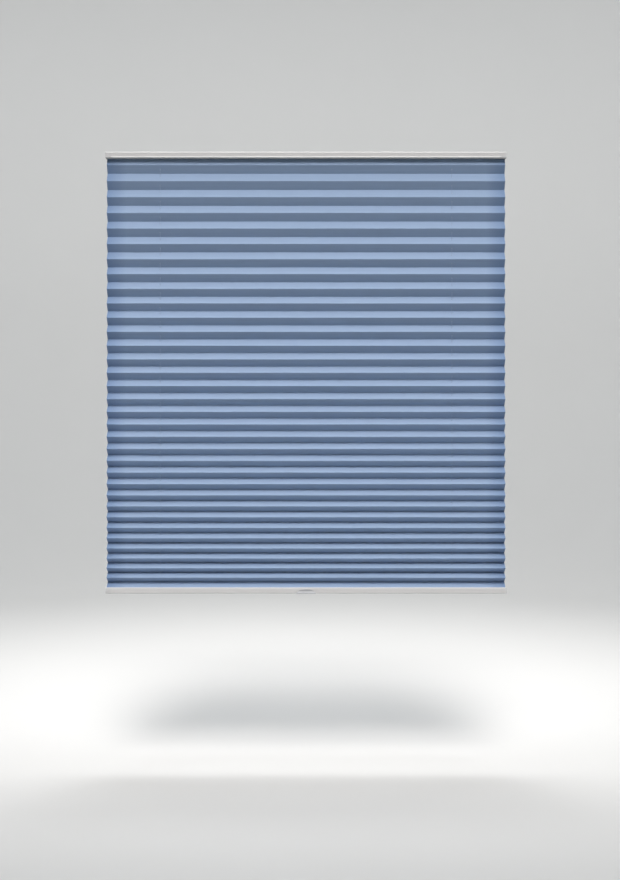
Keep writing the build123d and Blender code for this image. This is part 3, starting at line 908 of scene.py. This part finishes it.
class BLIND_OT_motor(bpy.types.Operator):
    """Finish the spring lift: its case, wheels, spring, axles and screws"""

    bl_idname = "blind.motor"
    bl_label = "Spring lift"

    def execute(self, context):
        finish = settings("blind_finish")
        case = moulded("case_plastic", finish.case, 0.48, 0.7 * MM, 0.04 * MM)
        dress(["motor_tray", "motor_cover"], case)
        wheels = both("cord_spool") + ["idler_gear", "storage_drum", "output_drum"]
        dress(wheels, moulded("wheel_acetal", finish.wheel, 0.24, 1.2 * MM, 0.01 * MM))
        dress(["axle_pins", "cover_screws"], drawn_steel("axle_steel", finish.steel, 0.2, "Z"))
        axis_x = float((low("output_drum")[0] + high("output_drum")[0]) / 2)
        dress(["drive_spring"], coiled_steel("spring_steel", finish.spring, axis_x))
        return {"FINISHED"}


# ---- Studio -----------------------------------------------------------------
def studio_shell(studio):
    """Floor, cove and wall in one skin: a profile turned about the upright through the blind.

    The profile runs out along the floor, round a quarter circle, and up the wall.
    """
    floor_points, cove_points, round_points = 12, 25, 96
    floor = -studio.floor_drop
    flat = studio.floor_radius - studio.cove_radius
    bend = np.linspace(0, math.pi / 2, cove_points)[1:]
    reach = flat + studio.cove_radius * np.sin(bend)
    rise = floor + studio.cove_radius * (1 - np.cos(bend))
    out = np.concatenate((np.linspace(0.0, flat, floor_points), reach, [studio.floor_radius]))
    up = np.concatenate((np.full(floor_points, floor), rise, [floor + studio.wall_height]))
    turn = np.linspace(0, math.tau, round_points, endpoint=False)
    points = np.stack(
        np.broadcast_arrays(out[:, None] * np.cos(turn), out[:, None] * np.sin(turn), up[:, None]),
        axis=-1,
    )
    sheet = np.zeros((len(out), len(turn) + 1, 2))
    shell = surface("studio_shell", points[::-1], sheet, round_it=True)
    join_doubles(shell)
    return shell


def soft_light(name, watts, tone, place, target, size, spread):
    """A rectangular light of one tone at a place, aimed at a target."""
    lamp = bpy.data.lights.new(name, "AREA")
    lamp.shape = "RECTANGLE"
    lamp.size, lamp.size_y = size
    lamp.energy = watts
    lamp.color = tone
    lamp.spread = spread
    light = bpy.data.objects.new(name, lamp)
    bpy.context.scene.collection.objects.link(light)
    light.location = place
    heading = Vector(target) - Vector(place)
    light.rotation_euler = heading.to_track_quat("-Z", "Y").to_euler()
    light.visible_camera = False


def in_front(rise, away):
    """The place that far in front of the blind's middle, raised by the angle rise."""
    middle = (cad_box[0][2] + cad_box[1][2]) / 2
    return 0, -away * math.cos(rise), middle + away * math.sin(rise)


class BLIND_OT_studio(bpy.types.Operator):
    """Set up the floor, the light and the camera"""

    bl_idname = "blind.studio"
    bl_label = "Studio"

    def execute(self, context):
        studio = settings("blind_studio")
        shell = studio_shell(studio)
        shell.data.materials.append(studio_paper(studio.paper))
        self.light(context, studio)
        self.camera(context, studio)
        return {"FINISHED"}

    def light(self, context, studio):
        """Two wide lights high in front, six turned to the round wall, and a sky."""
        top, bottom = (0, 0, low("head_rail")[2]), (0, 0, high("bottom_rail")[2])
        size, spread = (studio.lamp_width, studio.lamp_height), studio.lamp_spread
        for name, watts, rise, target in (
            ("key_light", studio.key, studio.key_rise, bottom),
            ("crown_light", studio.crown, studio.crown_rise, top),
        ):
            place = in_front(rise, studio.lamp_away)
            soft_light(name, watts, studio.key_tone, place, target, size, spread)
        for number in range(WALL_LIGHTS):
            heading = math.tau * (number + 0.5) / WALL_LIGHTS
            self.wall_light(studio, number, Vector((math.cos(heading), math.sin(heading), 0)))
        world = bpy.data.worlds.new("sky")
        world.use_nodes = True
        backdrop = world.node_tree.nodes["Background"]
        backdrop.inputs["Color"].default_value = tint(studio.sky_tone, 1.0)
        backdrop.inputs["Strength"].default_value = studio.sky
        context.scene.world = world
        context.scene.view_settings.view_transform = "Standard"

    def wall_light(self, studio, number, out):
        """One light above the blind, turned outwards to the wall behind it or in front."""
        reach, height, size = 0.6, 2.1, (2.0, 0.8)
        behind = out.y > 0
        watts = (studio.back if behind else studio.front) / (WALL_LIGHTS / 2)
        tone = (1.0, 1.0, 1.0) if behind else studio.sky_tone
        place = out * reach + Vector((0, 0, height))
        wall = out * studio.floor_radius - Vector((0, 0, studio.eye_drop))
        soft_light(f"wall_light_{number}", watts, tone, place, wall, size, math.pi)

    def camera(self, context, studio):
        """A level camera square to the blind, a little to the right of its middle."""
        lens = bpy.data.cameras.new("camera")
        frame_width, frame_height = 620, 880
        lens.sensor_width = 36.0
        across = studio.view_width / studio.eye_away
        lens.lens = lens.sensor_width * frame_width / frame_height / across
        eye = bpy.data.objects.new("camera", lens)
        context.scene.collection.objects.link(eye)
        front = low("head_rail")[1]
        eye.location = (studio.eye_side, front - studio.eye_away, -studio.eye_drop)
        eye.rotation_euler = (math.pi / 2, 0, 0)
        context.scene.camera = eye


class BLIND_PT_panel(bpy.types.Panel):
    """The blind's operators, in the order in which they are run"""

    bl_idname = "BLIND_PT_panel"
    bl_label = "Pleated blind"
    bl_space_type = "VIEW_3D"
    bl_region_type = "UI"
    bl_category = "Blind"

    def draw(self, context):
        for operator in OPERATORS:
            self.layout.operator(operator.bl_idname)


GROUPS = {
    "blind_cloth": ClothSettings,
    "blind_cord": CordSettings,
    "blind_finish": FinishSettings,
    "blind_studio": StudioSettings,
}
OPERATORS = (
    BLIND_OT_studio,
    BLIND_OT_cloth,
    BLIND_OT_cords,
    BLIND_OT_rails,
    BLIND_OT_caps,
    BLIND_OT_fittings,
    BLIND_OT_motor,
)


def register():
    """Adds the classes, and the groups of settings to the scene."""
    for made in (*GROUPS.values(), *OPERATORS, BLIND_PT_panel):
        bpy.utils.register_class(made)
    for name, group in GROUPS.items():
        setattr(bpy.types.Scene, name, PointerProperty(type=group))


def unregister():
    """Takes them away again."""
    for name in GROUPS:
        delattr(bpy.types.Scene, name)
    for made in (BLIND_PT_panel, *OPERATORS[::-1], *reversed(GROUPS.values())):
        bpy.utils.unregister_class(made)


def main():
    """Registers the classes and runs every operator."""
    register()
    for operator in OPERATORS:
        group, name = operator.bl_idname.split(".")
        getattr(getattr(bpy.ops, group), name)()


if __name__ == "__main__":
    main()
